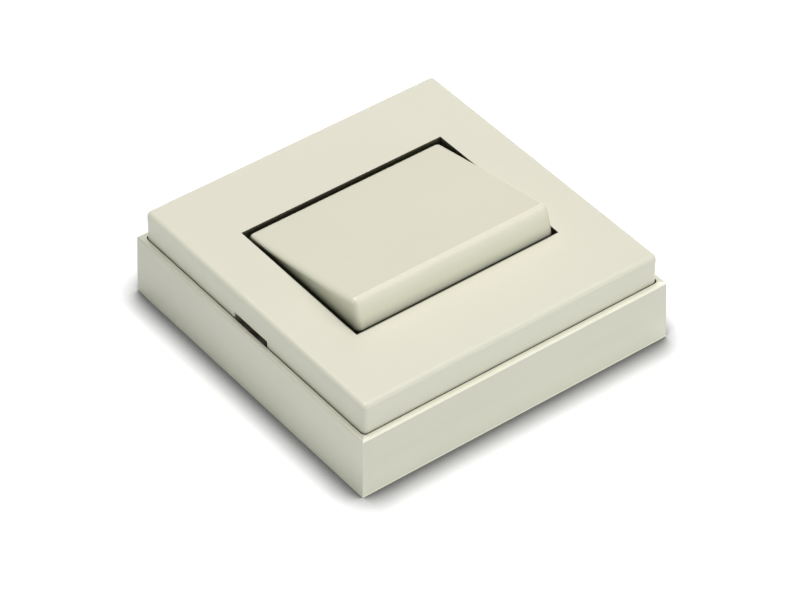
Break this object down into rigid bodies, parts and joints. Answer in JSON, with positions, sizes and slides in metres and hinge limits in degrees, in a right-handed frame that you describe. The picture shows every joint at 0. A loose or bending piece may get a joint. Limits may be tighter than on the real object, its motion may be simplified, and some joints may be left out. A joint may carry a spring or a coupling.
{
  "type": "surface-mounted light switch",
  "caption": "Square surface-mounted two-way light switch: shallow wall box, clip-on cover plate with rounded edge, and one wide rocker that tilts over a spring plunger and seesaw contact.",
  "frame": {"origin": "centre of the mounting box's back face, the one that lies on the wall", "axes": "+Z out of the wall, +X along the rocker's hinge axis, +Y up the wall, towards the edge that is pressed at rest"},
  "size_m": [0.08, 0.08, 0.0288],
  "materials": {
    "ivory_plastic": "satin moulded ivory",
    "rocker_plastic": "satin moulded ivory",
    "insulating_plastic": "matte moulded black",
    "carrier_plastic": "natural grey moulding",
    "zinc_steel": "zinc plated",
    "spring_steel": "bright drawn",
    "brass": "stamped brass",
    "silver": "silver contact"
  },
  "bodies": {
    "base": {"mounting_box": "ivory_plastic", "cover_plate": "ivory_plastic", "switch_base": "insulating_plastic", "bearing_cover": "insulating_plastic", "support_frame": "zinc_steel", "housing_rivets": "zinc_steel", "mechanism_screws": "zinc_steel", "common_terminal": "brass", "traveller_terminal_1": "brass", "traveller_terminal_2": "brass", "terminal_screws": "zinc_steel", "fixed_contact_1": "silver", "fixed_contact_2": "silver"},
    "rocker_unit": {"rocker": "rocker_plastic", "rocker_carrier": "carrier_plastic", "plunger": "carrier_plastic", "plunger_spring": "spring_steel"},
    "lever_unit": {"contact_lever": "brass", "moving_contact_1": "silver", "moving_contact_2": "silver"}
  },
  "joints": [
    {"name": "rocker_tilt", "type": "hinge", "parent": "base", "child": "rocker_unit", "pos_m": [0, 0, 0.02025], "axis": [1, 0, 0], "range_deg": [0, 22]},
    {"name": "contact_tilt", "type": "hinge", "parent": "base", "child": "lever_unit", "pos_m": [0, 0, 0.0062], "axis": [1, 0, 0], "range_deg": [-16, 0]}
  ],
  "couplings": [
    {"joint": "contact_tilt", "follows": "rocker_tilt", "ratio": -0.72727}
  ]
}
